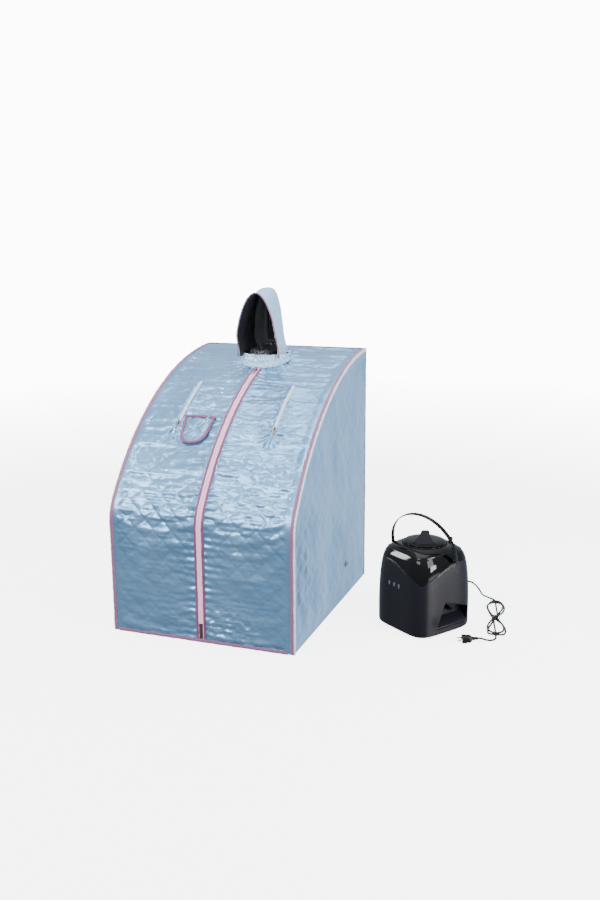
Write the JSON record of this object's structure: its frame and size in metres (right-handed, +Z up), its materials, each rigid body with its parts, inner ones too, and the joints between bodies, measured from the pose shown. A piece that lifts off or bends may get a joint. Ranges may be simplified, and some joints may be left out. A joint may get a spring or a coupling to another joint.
{
  "type": "portable steam sauna",
  "caption": "Quilted satin one-person steam tent with a hood, front and arm zips on a plug-together tube frame, with a separate corded steam generator.",
  "frame": {"origin": "centre of the underside of the tent's floor", "axes": "+Z up, -Y the tent's zipped front, +X the side the steam generator stands on"},
  "size_m": [1.3662, 0.855, 1.2005],
  "materials": {
    "satin_cloth": "quilted light steel-blue satin",
    "hood_satin": "pale blue satin with a near-black lining",
    "binding": "mauve bias tape with a white piping",
    "zip_pink": "pale pink zip tape and coil",
    "zip_white": "white zip tape and coil",
    "zip_tab": "dark maroon woven end tab",
    "zip_metal": "dark nickel",
    "frame_tube": "light grey powder coat",
    "connector_plastic": "moulded",
    "body_plastic": "fine satin moulding, very dark grey",
    "gloss_plastic": "polished black",
    "grey_plastic": "moulded light grey",
    "tank_steel": "brushed",
    "heater_metal": "cast",
    "circuit_board": "green laminate",
    "black_rubber": "black PVC"
  },
  "bodies": {
    "tent": {"floor_panel": "satin_cloth", "back_panel": "satin_cloth", "side_panel_left": "satin_cloth", "side_panel_right": "satin_cloth", "front_panel_left": "satin_cloth", "front_panel_right": "satin_cloth", "pocket": "satin_cloth", "hose_port": "satin_cloth", "neck_collar": "hood_satin", "edge_binding_left": "binding", "edge_binding_right": "binding", "front_hem_binding": "binding", "rear_binding": "binding", "main_zip_tape": "zip_pink", "main_zip_end_tab": "zip_tab", "arm_zip_tape_left": "zip_white", "arm_zip_tape_right": "zip_white", "corner_front_left": "connector_plastic", "corner_front_right": "connector_plastic", "corner_rear_left": "connector_plastic", "corner_rear_right": "connector_plastic", "corner_top_left": "connector_plastic", "corner_top_right": "connector_plastic", "base_rail_left": "frame_tube", "base_rail_right": "frame_tube", "back_post_left": "frame_tube", "back_post_right": "frame_tube", "hoop_lower_left": "frame_tube", "hoop_lower_right": "frame_tube", "hoop_upper_left": "frame_tube", "hoop_upper_right": "frame_tube", "base_rail_front": "frame_tube", "base_rail_rear": "frame_tube", "top_rail_rear": "frame_tube"},
    "hood_cloth": {"hood": "hood_satin", "hood_binding": "binding"},
    "main_slider": {"main_zip_slider": "zip_metal"},
    "main_puller": {"main_zip_puller": "zip_metal"},
    "arm_slider_left": {"arm_zip_left_slider": "zip_metal"},
    "arm_puller_left": {"arm_zip_left_puller": "zip_metal"},
    "arm_slider_right": {"arm_zip_right_slider": "zip_metal"},
    "arm_puller_right": {"arm_zip_right_puller": "zip_metal"},
    "steamer": {"steamer_body": "body_plastic", "steamer_base": "body_plastic", "steamer_deck": "gloss_plastic", "water_tank": "tank_steel", "heating_plate": "heater_metal", "control_board": "circuit_board", "steam_outlet": "grey_plastic", "cord_gland": "black_rubber", "cord_lead": "black_rubber", "cord_hank": "black_rubber", "cord_tail": "black_rubber", "plug": "black_rubber"},
    "handle": {"carry_handle": "gloss_plastic"},
    "seal": {"lid_seal": "black_rubber"},
    "lid_cap": {"lid": "gloss_plastic"},
    "key_1": {"button_1": "grey_plastic"},
    "key_2": {"button_2": "grey_plastic"},
    "key_3": {"button_3": "grey_plastic"}
  },
  "joints": [
    {"name": "hood_fold", "type": "hinge", "parent": "tent", "child": "hood_cloth", "pos_m": [0, 0.2945, 0.961], "axis": [-1, 0, 0], "range_deg": [0, 75]},
    {"name": "main_zip_run", "type": "hinge", "parent": "tent", "child": "main_slider", "pos_m": [0, 0.47448, -0.06747], "axis": [1, 0, 0], "range_deg": [0, 35.4]},
    {"name": "main_puller_swing", "type": "hinge", "parent": "main_slider", "child": "main_puller", "pos_m": [0, 0.1005, 0.91201], "axis": [-1, 0, 0], "range_deg": [0, 160]},
    {"name": "arm_zip_run_left", "type": "hinge", "parent": "tent", "child": "arm_slider_left", "pos_m": [-0.19, 0.47448, -0.06747], "axis": [-1, 0, 0], "range_deg": [0, 11.94]},
    {"name": "arm_puller_swing_left", "type": "hinge", "parent": "arm_slider_left", "child": "arm_puller_left", "pos_m": [-0.19, -0.1892, 0.74418], "axis": [-1, 0, 0], "range_deg": [0, 160]},
    {"name": "arm_zip_run_right", "type": "hinge", "parent": "tent", "child": "arm_slider_right", "pos_m": [0.19, 0.47448, -0.06747], "axis": [-1, 0, 0], "range_deg": [0, 11.94]},
    {"name": "arm_puller_swing_right", "type": "hinge", "parent": "arm_slider_right", "child": "arm_puller_right", "pos_m": [0.19, -0.1892, 0.74418], "axis": [-1, 0, 0], "range_deg": [0, 160]},
    {"name": "steamer_place", "type": "slide", "parent": "tent", "child": "steamer", "axis": [1, 0, 0], "range_m": [0, 0.3]},
    {"name": "handle_swing", "type": "hinge", "parent": "steamer", "child": "handle", "pos_m": [0.703, 0.004, 0.272], "axis": [0.9272, -0.3746, 0], "range_deg": [-95, 65]},
    {"name": "lid_lift", "type": "slide", "parent": "steamer", "child": "seal", "axis": [0, 0, 1], "range_m": [0, 0.06]},
    {"name": "lid_turn", "type": "hinge", "parent": "seal", "child": "lid_cap", "pos_m": [0.703, 0.004, 0.314], "axis": [0, 0, 1], "range_deg": [0, 30]},
    {"name": "key_1_press", "type": "slide", "parent": "steamer", "child": "key_1", "axis": [0.5736, 0.8192, 0], "range_m": [0, 0.0012], "stiffness_N_per_m": 400, "springref_m": -0.0005},
    {"name": "key_2_press", "type": "slide", "parent": "steamer", "child": "key_2", "axis": [0.5736, 0.8192, 0], "range_m": [0, 0.0012], "stiffness_N_per_m": 400, "springref_m": -0.0005},
    {"name": "key_3_press", "type": "slide", "parent": "steamer", "child": "key_3", "axis": [0.5736, 0.8192, 0], "range_m": [0, 0.0012], "stiffness_N_per_m": 400, "springref_m": -0.0005}
  ]
}
